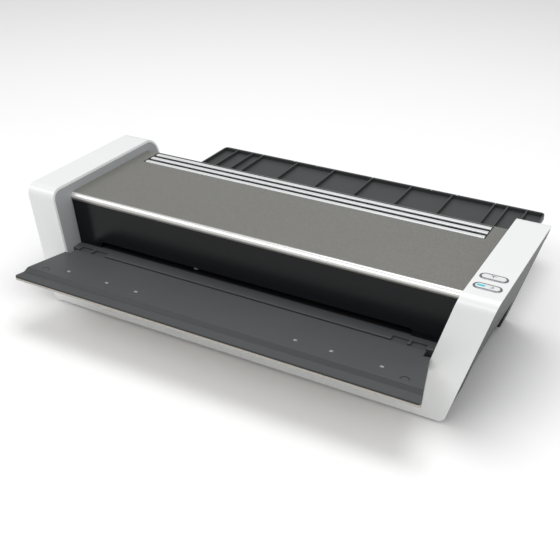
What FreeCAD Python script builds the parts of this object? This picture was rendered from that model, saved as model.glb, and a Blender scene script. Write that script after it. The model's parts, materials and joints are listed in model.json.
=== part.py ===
"""Desktop pouch laminator for sheets up to 297 mm wide, with folding input tray and clip-on exit tray.

Millimetres, +Z up, +X to the operator's right, the operator stands on the -Y side. While the pieces
are built, y = 0 is the front edge of the flat tops of the two end caps and z = 0 is the table top.
write() then moves every piece along Y so that the origin is the centre of the footprint of the whole
machine, with both trays in use.
"""
import FreeCAD
import Part
import math
import os

Vector = FreeCAD.Vector

# ---- overall body ----
WIDTH = 484.4              # across the tops of the end caps
HEIGHT = 118.0             # table to the tops of the end caps
TOP_DEPTH = 147.0          # flat top of an end cap, front to back, and depth of the top cover
CAP_WIDTH = 32.4           # one end cap, across its top
SIDE_LEAN = 0.258          # inward step of the sides per mm of drop
SIDE_TUCK = 0.014          # extra inward step of the dark side walls per mm of drop
FRONT_CORNER_Y = -11.1     # where front face and top would meet if the corner were sharp
FRONT_LEAN = 0.11          # forward step of the front face per mm of drop
REAR_LEAN = 0.035          # backward step of the rear face per mm of drop
CAP_RADIUS = 12.4          # rounded corner from the top to the front
CAP_REAR_RADIUS = 16.0     # rounded corner from the top to the rear, behind the flat top
BOTTOM_CORNER = 7.0        # rounded lower corners of the white frame
SKIN = 2.5                 # white frame thickness
WALL = 2.5                 # wall of the other mouldings
FIT = 0.2                  # gap between mouldings that are screwed together
FOOT_HEIGHT = 3.0
CASING_LOW = 1.8           # lower edge of the casing above the table
WHITE_REAR_DROP = 20.0     # how far the white skin wraps down the rear

# ---- top cover, front panel and paper path ----
COVER_DROP = 10.0          # top cover below the end caps
NOSE_Y = 12.0              # front of the cover's rounded nose
NOSE_RADIUS = 5.8
COVER_SKIRT = 6.4          # height of the cover's front and rear edges
PANEL_FOOT_Y = 6.0         # front of the dark panel at the paper path
PATH_DROP = 59.6           # paper path below the end caps
SLOT_WIDTH = 336.0
SLOT_HEIGHT = 6.2
POCKETS_X = ((154.0, 169.0), (171.7, 185.7))   # finger pockets at each end of the deck
POCKETS_SPAN = 194.4       # half width of the deck for which POCKETS_X holds
POCKET_DEPTH = 2.0
POCKET_LENGTH = 5.8
GRILLE_BARS = 3
BAR_FIRST_Y = 120.2
BAR_PITCH = 10.2
BAR_WIDTH = 5.2
BAR_HEIGHT = 1.7
BAR_LENGTH = 381.0

# ---- input tray and its hinge ----
HINGE_Y = -13.0
HINGE_DROP = 5.4           # hinge axis below the paper path
HINGE_PIN_RADIUS = 1.5
KNUCKLE_RADIUS = 4.2
TRAY_FRONT_Y = -76.6
TRAY_STEP_Y = -61.0        # where the tray's plateau steps down to its lip
TRAY_STEP_RUN = 4.6
TRAY_STEP_DROP = 3.2
TRAY_SHEET = 2.0
TRAY_EDGE = 1.5
TRAY_SIDE_GAP = 0.5
SWING_RADIUS = 7.1         # room around the hinge axis for the tray's rear edge
RUNNING = 0.05             # radial clearance of pins and shafts that turn

# ---- exit tray ----
EXIT_TRAY_WIDTH = 411.0
EXIT_TRAY_LENGTH = 157.0
EXIT_TRAY_DEPTH = 6.0
EXIT_RIB = 1.8
EXIT_RIBS_X = (0.0, 50.0, 100.0, 149.5, 164.5, 186.0)
HOOK_X = 120.0
HOOK_WIDTH = 20.0
HOOK_THICK = 3.0
HOOK_REACH = 8.0

# ---- laminating unit ----
ROLLER_RADIUS = 12.2
NIP_GAP = 0.6              # free gap of a roller pair with no pouch in it
SHAFT_RADIUS = 4.0
BUSH_RADIUS = 7.0
BUSH_FLANGE = 1.0
FRONT_ROLLER_Y = 45.0
FRAME_THICK = 2.0
SPRING_TURNS = 6
SPRING_WIRE = 0.5          # radius of the spring wire
SPRING_RADIUS = 2.9
GEAR_FACE = 6.0
GEAR_TEETH = 20
IDLER_TEETH = 28
PINION_TEETH = 14
PRESSURE_ANGLE = math.radians(20.0)
ADDENDUM = 0.8             # in modules, short so that the small pinion runs free
DEDENDUM = 1.15
BACKLASH = 0.22
HEATER_GAP = 3.0           # heater plate to paper path
HEATER_THICK = 6.0
MOTOR_RADIUS = 17.0
MOTOR_LENGTH = 30.0
MOTOR_OFFSET = 6.5         # output shaft below the motor's centre
MOTOR_SHAFT_RADIUS = 2.0
MOTOR_BOSS_RADIUS = 7.0
STUB_RADIUS = 2.5          # fixed pin of the idler gear
GRIP_DEPTH = 6.0           # hand recess in the lower side walls
GRIP_Y = (25.0, 138.0)
GRIP_TOP = 40.0

# ---- controls ----
BUTTON_Y = {"power": 14.1, "reverse": 31.5}
BUTTON_LENGTH = 21.5
BUTTON_WIDTH = 7.2
BEZEL_RIM = 1.6
BUTTON_GAP = 0.3
BUTTON_PROUD = 0.8

# ---- places that follow from the sizes above ----
PATH_Z = HEIGHT - PATH_DROP
COVER_Z = HEIGHT - COVER_DROP
PAN_TOP = FOOT_HEIGHT + WALL
HINGE_Z = PATH_Z - HINGE_DROP
DECK_Z = PATH_Z - 0.2
TRAY_TOP = PATH_Z
SILL_Z = HINGE_Z - SWING_RADIUS
SLOT_TOP = PATH_Z + SLOT_HEIGHT
SKIRT_Z = COVER_Z - COVER_SKIRT
ROLLER_DROP = ROLLER_RADIUS + NIP_GAP / 2
LOWER_Z = PATH_Z - ROLLER_DROP
UPPER_Z = PATH_Z + ROLLER_DROP
MODULE = 2 * ROLLER_DROP / GEAR_TEETH
GEAR_RADIUS = MODULE * GEAR_TEETH / 2
IDLER_RADIUS = MODULE * IDLER_TEETH / 2
PINION_RADIUS = MODULE * PINION_TEETH / 2
IDLER_Y = FRONT_ROLLER_Y + GEAR_RADIUS + IDLER_RADIUS
REAR_ROLLER_Y = IDLER_Y + GEAR_RADIUS + IDLER_RADIUS
FAR = 400.0                # longer than any piece, for cutting tools


def x_in(z):
    """Inner side of an end cap at height z."""
    return WIDTH / 2 - CAP_WIDTH - SIDE_LEAN * (HEIGHT - z)


def x_out(z):
    """Outer side of an end cap at height z."""
    return WIDTH / 2 - SIDE_LEAN * (HEIGHT - z)


def front_y(z, inset=0.0):
    return FRONT_CORNER_Y - FRONT_LEAN * (HEIGHT - z) + inset * math.hypot(1, FRONT_LEAN)


def rear_y(z, inset=0.0):
    return TOP_DEPTH + REAR_LEAN * (HEIGHT - z) - inset * math.hypot(1, REAR_LEAN)


def cap_rear_y(z, inset=0.0):
    """Rear face of an end cap, behind the rear wall of the middle by the rounding of the cap's top."""
    return rear_y(z, inset) + CAP_REAR_RADIUS


def panel_y(z):
    """Front face of the dark panel, which leans back from the paper path to the nose."""
    share = (z - PATH_Z) / (SKIRT_Z - PATH_Z)
    return PANEL_FOOT_Y + (NOSE_Y + FIT - PANEL_FOOT_Y) * share


GEAR_X1 = x_in(PAN_TOP) - 0.8 * WALL + 2.0
GEAR_X0 = GEAR_X1 - GEAR_FACE
FRAME_X1 = GEAR_X0 - 2 * BUSH_FLANGE
FRAME_X0 = FRAME_X1 - FRAME_THICK
ROLLER_HALF = FRAME_X0 - 4 * BUSH_FLANGE
Y_SHIFT = -(TRAY_FRONT_Y + rear_y(PATH_Z) + FIT + EXIT_TRAY_LENGTH) / 2


# ---- drawing helpers ----
def outline(points, place):
    """A closed wire through (u, v) or (u, v, radius) corners; place turns (u, v) into a Vector."""
    count = len(points)
    starts, ends, arcs = [], [], []
    for i, point in enumerate(points):
        u, v = point[:2]
        radius = point[2] if len(point) > 2 else 0.0
        if not radius:
            starts.append((u, v))
            ends.append((u, v))
            arcs.append(None)
            continue
        before, after = points[i - 1], points[(i + 1) % count]
        back = (before[0] - u, before[1] - v)
        on = (after[0] - u, after[1] - v)
        back_length, on_length = math.hypot(*back), math.hypot(*on)
        back = (back[0] / back_length, back[1] / back_length)
        on = (on[0] / on_length, on[1] / on_length)
        half = math.acos(max(-1.0, min(1.0, back[0] * on[0] + back[1] * on[1]))) / 2
        reach = radius / math.tan(half)
        centre_reach = radius / math.sin(half)
        middle = (back[0] + on[0], back[1] + on[1])
        middle_length = math.hypot(*middle)
        middle = (middle[0] / middle_length, middle[1] / middle_length)
        starts.append((u + back[0] * reach, v + back[1] * reach))
        ends.append((u + on[0] * reach, v + on[1] * reach))
        arcs.append((u + middle[0] * (centre_reach - radius), v + middle[1] * (centre_reach - radius)))
    edges = []
    for i in range(count):
        if arcs[i]:
            edges.append(Part.Arc(place(*starts[i]), place(*arcs[i]), place(*ends[i])).toShape())
        here, there = place(*ends[i]), place(*starts[(i + 1) % count])
        if here.distanceToPoint(there) > 1e-6:
            edges.append(Part.makeLine(here, there))
    return Part.Wire(edges)


def slab_x(points, x0, x1):
    """Corners are (y, z[, radius]); the solid runs from x0 to x1."""
    face = Part.Face(outline(points, lambda y, z: Vector(x0, y, z)))
    return face.extrude(Vector(x1 - x0, 0, 0))


def slab_y(points, y0, y1):
    """Corners are (x, z[, radius]); the solid runs from y0 to y1."""
    face = Part.Face(outline(points, lambda x, z: Vector(x, y0, z)))
    return face.extrude(Vector(0, y1 - y0, 0))


def slab_z(points, z0, z1):
    """Corners are (x, y[, radius]); the solid runs from z0 to z1."""
    face = Part.Face(outline(points, lambda x, y: Vector(x, y, z0)))
    return face.extrude(Vector(0, 0, z1 - z0))


def block(x0, x1, y0, y1, z0, z1):
    return Part.makeBox(x1 - x0, y1 - y0, z1 - z0, Vector(x0, y0, z0))


def rod_x(radius, x0, x1, y, z):
    return Part.makeCylinder(radius, x1 - x0, Vector(x0, y, z), Vector(1, 0, 0))


def rod_z(radius, z0, z1, x, y):
    return Part.makeCylinder(radius, z1 - z0, Vector(x, y, z0))


def pill(length, width, x, y, z0, z1):
    """An upright solid with a pill-shaped plan, its long side along X."""
    round_end = width / 2 - 0.01
    half_l, half_w = length / 2, width / 2
    corners = [(x - half_l, y - half_w, round_end), (x + half_l, y - half_w, round_end),
               (x + half_l, y + half_w, round_end), (x - half_l, y + half_w, round_end)]
    return slab_z(corners, z0, z1)


def fuse(first, *others):
    return first.multiFuse(list(others)).removeSplitter() if others else first


def mirrored(shape):
    return shape.mirror(Vector(0, 0, 0), Vector(1, 0, 0))


def both_sides(shape):
    return Part.makeCompound([shape, mirrored(shape)])


def write(name, shape):
    shape = shape.copy()
    shape.translate(Vector(0, Y_SHIFT, 0))
    solids = shape.Solids
    if not solids or not all(s.isValid() and s.Volume > 0 for s in solids):
        raise ValueError("the shape of " + name + " is not a sound solid")
    whole = solids[0] if len(solids) == 1 else Part.makeCompound(solids)
    whole.exportStep("parts/" + name + ".step")


# ---- casing ----
def cap_profile(inset, z_low):
    """Side view of an end cap, inset from its outer surface, down to z_low."""
    z_high = HEIGHT - inset
    return [(front_y(z_low, inset), z_low),
            (front_y(z_high, inset), z_high, CAP_RADIUS - inset),
            (cap_rear_y(z_high, inset), z_high, CAP_REAR_RADIUS - inset),
            (cap_rear_y(z_low, inset), z_low)]


def cap_prism(inset, z_low, z_high):
    """Front view of the right-hand end cap, its sides inset, right through along Y."""
    low_x, high_x = (x_out(z) - SIDE_TUCK * (HEIGHT - z) - inset for z in (z_low, z_high))
    corners = [(x_in(z_low) + inset, z_low), (low_x, z_low), (high_x, z_high), (x_in(z_high) + inset, z_high)]
    return slab_y(corners, -FAR, FAR)


def between_caps(z_low, z_high, gap=FIT):
    """The space between the two end caps, right through along Y."""
    corners = [(-x_in(z_low) + gap, z_low), (x_in(z_low) - gap, z_low),
               (x_in(z_high) - gap, z_high), (-x_in(z_high) + gap, z_high)]
    return slab_y(corners, -FAR, FAR)


def button_x():
    return WIDTH / 2 - CAP_WIDTH / 2 - 0.6


def button_holes(grow, z0, z1):
    length = BUTTON_LENGTH + 2 * grow
    width = BUTTON_WIDTH + 2 * grow
    return [pill(length, width, button_x(), y, z0, z1) for y in BUTTON_Y.values()]


def front_frame():
    """The white frame: a skin over both end caps that joins across the lower front."""
    outer = slab_x(cap_profile(0, CASING_LOW), -FAR, FAR)
    inner = slab_x(cap_profile(SKIN, -FAR / 4), -FAR, FAR)
    top = HEIGHT + 1
    window = slab_y([(-x_in(SILL_Z), SILL_Z, 1.2), (x_in(SILL_Z), SILL_Z, 1.2),
                     (x_in(top), top), (-x_in(top), top)], -FAR, FAR)
    rear = block(-FAR, FAR, TOP_DEPTH / 3, FAR, 0, HEIGHT - WHITE_REAR_DROP)
    frame = outer.cut(inner).common(silhouette()).cut(window).cut(rear)
    bosses = [screw_boss(x, y, front_y(PAN_TOP, SKIN / 2)) for x, y in screw_places() if y < 0]
    return fuse(frame.cut(Part.makeCompound(button_holes(BEZEL_RIM, COVER_Z, HEIGHT + 1))), *bosses)


def silhouette():
    """Front view of the whole casing with its rounded lower corners, right through along Y."""
    low = CASING_LOW
    return slab_y([(-x_out(low), low, BOTTOM_CORNER), (x_out(low), low, BOTTOM_CORNER),
                   (x_out(HEIGHT), HEIGHT), (-x_out(HEIGHT), HEIGHT)], -FAR, FAR)


def screw_boss(x, y, wall_y):
    """A boss for a base screw, joined by a web to the wall at wall_y."""
    z0, z1 = PAN_TOP + FIT, PAN_TOP + 10.0
    web = block(x - 1.0, x + 1.0, min(y, wall_y), max(y, wall_y), z0, z1)
    return fuse(rod_z(3.4, z0, z1, x, y), web).cut(rod_z(1.5, z0 - 1, z1 - 1, x, y))


def end_housing():
    """The dark right-hand end housing under the white skin, with a ledge that rests on the base."""
    gap = SKIN + FIT
    body = slab_x(cap_profile(gap, PAN_TOP), 0, FAR).common(cap_prism(0, PAN_TOP, HEIGHT)).common(silhouette())
    cavity = slab_x(cap_profile(gap + WALL, 0), 0, FAR).common(cap_prism(WALL, 0, HEIGHT))
    ledge = block(base_half_x() - 5, FAR, -FAR, FAR, 0, PAN_TOP + 2.0)
    body = body.cut(grip_tool(GRIP_DEPTH, 0.0))
    return body.cut(cavity.cut(fuse(grip_tool(GRIP_DEPTH + WALL, WALL), ledge)))


def grip_tool(depth, grow):
    """The hand recess in an outer side wall, made deeper and larger by depth and grow."""
    side_view = [(GRIP_Y[0] - grow, -1), (GRIP_Y[1] + grow, -1),
                 (GRIP_Y[1] + grow, GRIP_TOP + grow, 8.0 + grow), (GRIP_Y[0] - grow, GRIP_TOP + grow, 8.0 + grow)]
    low, high = -1, GRIP_TOP + grow + 1
    slice_y = slab_y([(x_out(low) - depth, low), (x_out(low) + 20, low),
                      (x_out(high) + 20, high), (x_out(high) - depth, high)], -FAR, FAR)
    return slab_x(side_view, 0, FAR).common(slice_y)


def right_end_housing():
    holes = button_holes(BEZEL_RIM + FIT, COVER_Z - 2, HEIGHT + 1)
    return end_housing().cut(Part.makeCompound(holes))


def base_half_x():
    return x_out(FOOT_HEIGHT) - GRIP_DEPTH - 0.6


def grille_window(grow):
    half_x = BAR_LENGTH / 2 + 1.5 + grow
    y0 = BAR_FIRST_Y - BAR_WIDTH / 2 - 2.0 - grow
    y1 = BAR_FIRST_Y + BAR_PITCH * (GRILLE_BARS - 1) + BAR_WIDTH / 2 + 1.2 + grow
    return half_x, y0, y1


def top_cover():
    """The metallic cover between the end caps, with a rounded nose and a window for the grille."""
    rear = rear_y(COVER_Z)
    outer = [(NOSE_Y, SKIRT_Z), (NOSE_Y, COVER_Z, NOSE_RADIUS), (rear, COVER_Z, 3.0), (rear, SKIRT_Z)]
    inner = [(NOSE_Y + WALL, SKIRT_Z - 1), (NOSE_Y + WALL, COVER_Z - WALL, NOSE_RADIUS - WALL),
             (rear - WALL, COVER_Z - WALL, 0.5), (rear - WALL, SKIRT_Z - 1)]
    cover = slab_x(outer, -FAR, FAR).cut(slab_x(inner, -FAR, FAR))
    half_x, y0, y1 = grille_window(0)
    cover = cover.common(between_caps(SKIRT_Z - 1, COVER_Z + 1))
    return cover.cut(block(-half_x, half_x, y0, y1, SKIRT_Z, COVER_Z + 1))


def vent_grille():
    """The dark vent under the bars: a plate with a slot on each side of every bar."""
    half_x, y0, y1 = grille_window(-FIT)
    grille = block(-half_x, half_x, y0, y1, COVER_Z - WALL - 1.5, COVER_Z - 1.2)
    for i in range(GRILLE_BARS - 1):
        y = BAR_FIRST_Y + BAR_PITCH * (i + 0.5)
        for k in range(-4, 5):
            x = k * (BAR_LENGTH - 12) / 9
            half_slot = (BAR_LENGTH - 12) / 18 - 3
            grille = grille.cut(block(x - half_slot, x + half_slot, y - 1.2, y + 1.2, SKIRT_Z, COVER_Z))
    return grille


def vent_bars():
    bars = []
    for i in range(GRILLE_BARS):
        y = BAR_FIRST_Y + BAR_PITCH * i
        section = [(y - BAR_WIDTH / 2, COVER_Z - 1.2), (y + BAR_WIDTH / 2, COVER_Z - 1.2),
                   (y + BAR_WIDTH / 2, COVER_Z - 1.2 + BAR_HEIGHT - 0.6, 0.9),
                   (y - BAR_WIDTH / 2, COVER_Z - 1.2 + BAR_HEIGHT - 0.6, 0.9)]
        bars.append(slab_x(section, -BAR_LENGTH / 2, BAR_LENGTH / 2))
    return Part.makeCompound(bars)


def front_panel():
    """The glossy dark panel over the feed slot, with a guide lip that runs in to the rollers."""
    top, low, lip_y = SKIRT_Z - FIT, PATH_Z, FRONT_ROLLER_Y - ROLLER_RADIUS - 11
    sheet = slab_x([(panel_y(low), low), (panel_y(top), top),
                    (panel_y(top) + WALL, top), (panel_y(low) + WALL, low)], -FAR, FAR)
    lip = slab_x([(panel_y(SLOT_TOP), SLOT_TOP), (lip_y, SLOT_TOP), (lip_y, SLOT_TOP + WALL),
                  (panel_y(SLOT_TOP + WALL), SLOT_TOP + WALL)], -SLOT_WIDTH / 2 - 4, SLOT_WIDTH / 2 + 4)
    mouth = slab_y([(-SLOT_WIDTH / 2, low - 1), (SLOT_WIDTH / 2, low - 1),
                    (SLOT_WIDTH / 2, SLOT_TOP, 3.5), (-SLOT_WIDTH / 2, SLOT_TOP, 3.5)], -FAR, FAR)
    return fuse(sheet, lip).cut(mouth).common(between_caps(low, top + 1))


def hinge_lugs_x():
    """The X range of the deck's hinge lug, measured from the end of the hinge line."""
    end = x_in(HINGE_Z) - 10.0
    return end - 6.0, end


def feed_deck():
    """The deck in front of the rollers, its front edge folded down into the hinge trough."""
    edge_y = HINGE_Y + SWING_RADIUS - 0.5
    back_y = FRONT_ROLLER_Y - ROLLER_RADIUS - 2
    floor_y = front_y(SILL_Z, SKIN + FIT) + 0.3
    section = [(back_y, DECK_Z), (back_y, DECK_Z - WALL), (edge_y + WALL, DECK_Z - WALL),
               (edge_y + WALL, SILL_Z - WALL), (floor_y, SILL_Z - WALL), (floor_y, SILL_Z),
               (edge_y, SILL_Z), (edge_y, DECK_Z, 0.8)]
    deck = slab_x(section, -FAR, FAR).common(between_caps(SILL_Z - WALL, DECK_Z + 1))
    x0, x1 = hinge_lugs_x()
    reach = HINGE_DROP - TRAY_SHEET - 0.8
    lug = slab_x([(floor_y, SILL_Z - 0.5), (HINGE_Y + reach, SILL_Z - 0.5), (HINGE_Y + reach, HINGE_Z + reach, 2.3),
                  (HINGE_Y - reach, HINGE_Z + reach, 2.3), (floor_y, SILL_Z + 2)], x0, x1)
    lug = lug.cut(rod_x(HINGE_PIN_RADIUS, x0 - 1, x1 + 1, HINGE_Y, HINGE_Z))
    deck = fuse(deck, lug, mirrored(lug))
    for start, end in POCKETS_X:
        scale = x_in(DECK_Z) / POCKETS_SPAN
        pocket = slab_z([(start * scale, edge_y - 1), (end * scale, edge_y - 1),
                         (end * scale, edge_y + POCKET_LENGTH, 0.6), (start * scale, edge_y + POCKET_LENGTH, 0.6)],
                        DECK_Z - POCKET_DEPTH, DECK_Z + 1)
        deck = deck.cut(both_sides(pocket))
    y, z = flag_place()
    return deck.cut(block(FLAG_X - 3.2, FLAG_X + 3.2, y - 5, y + 8, DECK_Z - WALL - 1, DECK_Z + 1))


def base_pan():
    """The floor of the machine, with vent slots and recesses for the feet."""
    half_x = base_half_x()
    y0, y1 = front_y(FOOT_HEIGHT, SKIN + FIT) + 0.5, rear_y(FOOT_HEIGHT) - 0.5
    pan = slab_z([(-half_x, y0, 8), (half_x, y0, 8), (half_x, y1), (-half_x, y1)], FOOT_HEIGHT, PAN_TOP)
    under_cap = slab_z([(x_in(PAN_TOP) + 0.5, y1 - 1), (half_x, y1 - 1), (half_x, y1 + CAP_REAR_RADIUS, 8),
                        (x_in(PAN_TOP) + 0.5, y1 + CAP_REAR_RADIUS)], FOOT_HEIGHT, PAN_TOP)
    pan = fuse(pan, under_cap, mirrored(under_cap))
    slots = []
    for side in (-1, 1):
        for k in range(10):
            x = side * (40 + 9 * k)
            slots.append(slab_z([(x - 1.5, IDLER_Y - 25, 1.4), (x + 1.5, IDLER_Y - 25, 1.4),
                                 (x + 1.5, IDLER_Y + 25, 1.4), (x - 1.5, IDLER_Y + 25, 1.4)], 0, PAN_TOP + 1))
    pan = pan.cut(Part.makeCompound(slots))
    for x, y in foot_places():
        pan = pan.cut(rod_z(8.2, 0, FOOT_HEIGHT + 1.0, x, y))
    for x, y in screw_places():
        pan = pan.cut(rod_z(1.7, 0, PAN_TOP + 1, x, y)).cut(rod_z(3.4, 0, FOOT_HEIGHT + 1.4, x, y))
    return pan


def foot_places():
    x = x_out(FOOT_HEIGHT) - 30
    return [(-x, 8), (x, 8), (-x, TOP_DEPTH - 15), (x, TOP_DEPTH - 15)]


def screw_places():
    x = x_out(FOOT_HEIGHT) - 52
    front, rear = front_y(PAN_TOP, SKIN) + 8.0, rear_y(PAN_TOP, WALL) - 6.0
    return [(side * share * x, y) for side in (-1, 1) for share, y in ((1, front), (0.3, front), (1, rear))]


def foot(x, y):
    pad = rod_z(8.0, 0, FOOT_HEIGHT + 0.9, x, y)
    rim = [e for e in pad.Edges if abs(e.BoundBox.ZMax) < 1e-6]
    return pad.makeChamfer(0.6, rim)


def base_screws():
    screws = []
    for x, y in screw_places():
        head = rod_z(3.1, FOOT_HEIGHT + 0.2, FOOT_HEIGHT + 1.4, x, y)
        cross = fuse(block(x - 1.8, x + 1.8, y - 0.4, y + 0.4, FOOT_HEIGHT, FOOT_HEIGHT + 0.8),
                     block(x - 0.4, x + 0.4, y - 1.8, y + 1.8, FOOT_HEIGHT, FOOT_HEIGHT + 0.8))
        screws.append(fuse(head, rod_z(1.5, FOOT_HEIGHT + 1.3, PAN_TOP + 7, x, y)).cut(cross))
    return Part.makeCompound(screws)


def rear_cover():
    """The rear wall with the exit slot, hook slots, vents and the mains inlet window."""
    top = SKIRT_Z - FIT
    wall = slab_x([(rear_y(PAN_TOP), PAN_TOP), (rear_y(top), top),
                   (rear_y(top, WALL), top), (rear_y(PAN_TOP, WALL), PAN_TOP)], -FAR, FAR)
    wall = wall.common(between_caps(PAN_TOP, top + 1))
    half = SLOT_WIDTH / 2
    wall = wall.cut(slab_y([(-half, DECK_Z - 0.2, 2), (half, DECK_Z - 0.2, 2),
                            (half, SLOT_TOP + 1, 2), (-half, SLOT_TOP + 1, 2)], 0, FAR))
    for side in (-1, 1):
        half_hook = HOOK_WIDTH / 2 + 0.5
        z0 = hook_z() - 0.5
        wall = wall.cut(block(side * HOOK_X - half_hook, side * HOOK_X + half_hook, 0, FAR,
                              z0, z0 + HOOK_THICK + 1.0))
    bosses = [screw_boss(bx, by, rear_y(PAN_TOP, WALL / 2)) for bx, by in screw_places() if by > 0]
    wall = fuse(wall, *bosses)
    low, high = SLOT_TOP + 0.3 * (top - SLOT_TOP), top - 5
    vents = []
    for k in range(-17, 18):
        vents.append(slab_y([(8 * k - 1.5, low, 1.4), (8 * k + 1.5, low, 1.4),
                             (8 * k + 1.5, high, 1.4), (8 * k - 1.5, high, 1.4)], 0, FAR))
    wall = wall.cut(Part.makeCompound(vents))
    x, z = inlet_place()
    return wall.cut(block(x - 14.2, x + 14.2, 0, FAR, z - 10.2, z + 10.2))


def inlet_place():
    return -0.62 * x_in(PAN_TOP), PAN_TOP + 17.0


INLET_HALF = (12.3, 8.3)   # half width and half height of the socket's cavity
INLET_DEPTH = 17.0


def inlet_face():
    """The flat rear face of the inlet, whose flange lies on the leaning rear wall at its lower edge."""
    return rear_y(inlet_place()[1] - 12.5) + 1.2 + FIT


def power_inlet():
    """A three-pin appliance inlet of the common office-machine size, open to the rear."""
    x, z = inlet_place()
    face = inlet_face()
    half_x, half_z = INLET_HALF
    body = block(x - 14, x + 14, face - INLET_DEPTH - 4, face, z - 10, z + 10)
    flange = slab_y([(x - 16.5, z - 12.5, 3), (x + 16.5, z - 12.5, 3),
                     (x + 16.5, z + 12.5, 3), (x - 16.5, z + 12.5, 3)], face - 1.2, face)
    cavity = slab_y([(x - half_x, z - half_z), (x + half_x, z - half_z), (x + half_x, z + 2),
                     (x + half_x - 5, z + half_z), (x - half_x + 5, z + half_z), (x - half_x, z + 2)],
                    face - INLET_DEPTH, face + 1)
    return fuse(body, flange).cut(cavity)


def inlet_pins():
    x, z = inlet_place()
    face = inlet_face()
    pins = []
    for dx, dz in ((-7.0, -1.6), (7.0, -1.6), (0.0, 2.6)):
        pins.append(block(x + dx - 1.0, x + dx + 1.0, face - INLET_DEPTH, face - 2.5,
                          z + dz - 2.0, z + dz + 2.0))
    return Part.makeCompound(pins)


# ---- input tray ----
def tray_half(y, inset=0.0):
    """Half width of the input tray at y: when folded up its sides follow the leaning end caps."""
    return x_in(HINGE_Z) - TRAY_SIDE_GAP + SIDE_LEAN * (HINGE_Y - y) - inset


TRAY_NOTCH_Y = HINGE_Y - 5.5


def tray_plan(inset, rear, z0, z1):
    front = TRAY_FRONT_Y + inset
    corner = max(0.0, 2.5 - inset)
    corners = [(-tray_half(front, inset), front, corner), (tray_half(front, inset), front, corner),
               (tray_half(rear, inset), rear), (-tray_half(rear, inset), rear)]
    if not corner:
        corners = [c[:2] for c in corners]
    return slab_z(corners, z0, z1)


def input_tray_panel():
    """The tray's upper sheet: a plateau, a step down to the lip, and the hinge knuckles."""
    rear = HINGE_Y + SWING_RADIUS - 3.3
    lip_z = TRAY_TOP - TRAY_STEP_DROP
    section = [(rear, TRAY_TOP, 0.8), (TRAY_STEP_Y, TRAY_TOP, 1.0),
               (TRAY_STEP_Y - TRAY_STEP_RUN, lip_z, 1.0), (TRAY_FRONT_Y, lip_z), (TRAY_FRONT_Y, lip_z - TRAY_EDGE),
               (TRAY_STEP_Y - TRAY_STEP_RUN - 1, lip_z - TRAY_EDGE), (TRAY_STEP_Y - 1, TRAY_TOP - TRAY_SHEET),
               (rear, TRAY_TOP - TRAY_SHEET)]
    sheet = slab_x(section, -FAR, FAR).common(tray_plan(0, rear + 1, SILL_Z, HEIGHT))
    lug0, lug1 = hinge_lugs_x()
    corner = block(lug1 + 4.5, FAR, TRAY_NOTCH_Y, FAR, SILL_Z, HEIGHT)
    sheet = sheet.cut(both_sides(corner))
    for x0, x1 in ((lug0 - 8.0, lug0 - 0.5), (lug1 + 0.5, lug1 + 4.0)):
        barrel = rod_x(KNUCKLE_RADIUS, x0, x1, HINGE_Y, HINGE_Z)
        web = block(x0, x1, HINGE_Y - 2.5, HINGE_Y + 2.5, HINGE_Z, TRAY_TOP - TRAY_SHEET + 0.2)
        knuckle = fuse(barrel, web)
        sheet = fuse(sheet, knuckle, mirrored(knuckle))
    bore = rod_x(HINGE_PIN_RADIUS + RUNNING, -FAR, FAR, HINGE_Y, HINGE_Z)
    sheet = sheet.cut(bore)
    return sheet.cut(both_sides(thumb_mark()))


def thumb_mark():
    """A shallow half-moon groove near each front corner of the tray's plateau."""
    x, y = tray_half(TRAY_STEP_Y) - 18.2, TRAY_STEP_Y + 4.6
    ring = rod_z(4.3, TRAY_TOP - 0.8, TRAY_TOP + 1, x, y).cut(rod_z(3.3, TRAY_TOP - 1, TRAY_TOP + 2, x, y))
    return ring.cut(block(x - 9, x + 9, y - 9, y - 0.5, TRAY_TOP - 2, TRAY_TOP + 3))


def input_tray_cover():
    """The tray's metallic outer shell, underneath when the tray is down and in front when it is up."""
    lip_z = TRAY_TOP - TRAY_STEP_DROP - TRAY_EDGE - FIT
    under = TRAY_TOP - TRAY_SHEET - FIT
    rear = TRAY_NOTCH_Y
    depth = 9.6
    outer = [(TRAY_FRONT_Y, lip_z), (TRAY_FRONT_Y + 0.3, lip_z - 2.6, 0.8), (TRAY_FRONT_Y + 9, lip_z - 4.6, 8.0),
             (rear, under - depth, 2.0), (rear, under), (TRAY_STEP_Y - 1.0 + FIT, under),
             (TRAY_STEP_Y - TRAY_STEP_RUN - 1.0 + FIT, lip_z)]
    inner = [(TRAY_FRONT_Y + 4.0, lip_z + 1), (TRAY_FRONT_Y + 4.4, lip_z - 1.2), (TRAY_FRONT_Y + 9, lip_z - 2.6),
             (rear - TRAY_SHEET, under - depth + TRAY_SHEET), (rear - TRAY_SHEET, under + 1)]
    shell = slab_x(outer, -FAR, FAR).common(tray_plan(0, rear, SILL_Z, HEIGHT))
    hollow = slab_x(inner, -FAR, FAR).common(tray_plan(TRAY_SHEET, rear + 5, SILL_Z, HEIGHT))
    low = under - depth
    beside_frame = block(x_in(low) - TRAY_SIDE_GAP, FAR, front_y(low) - 1.5, FAR, SILL_Z, HEIGHT)
    return shell.cut(hollow).cut(both_sides(beside_frame))


def hinge_pins():
    lug0, lug1 = hinge_lugs_x()
    return both_sides(rod_x(HINGE_PIN_RADIUS, lug0 - 8.0, lug1 + 9.3, HINGE_Y, HINGE_Z))


# ---- exit tray ----
def hook_z():
    return PATH_Z - 1.0 - EXIT_TRAY_DEPTH - 2.5


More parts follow.
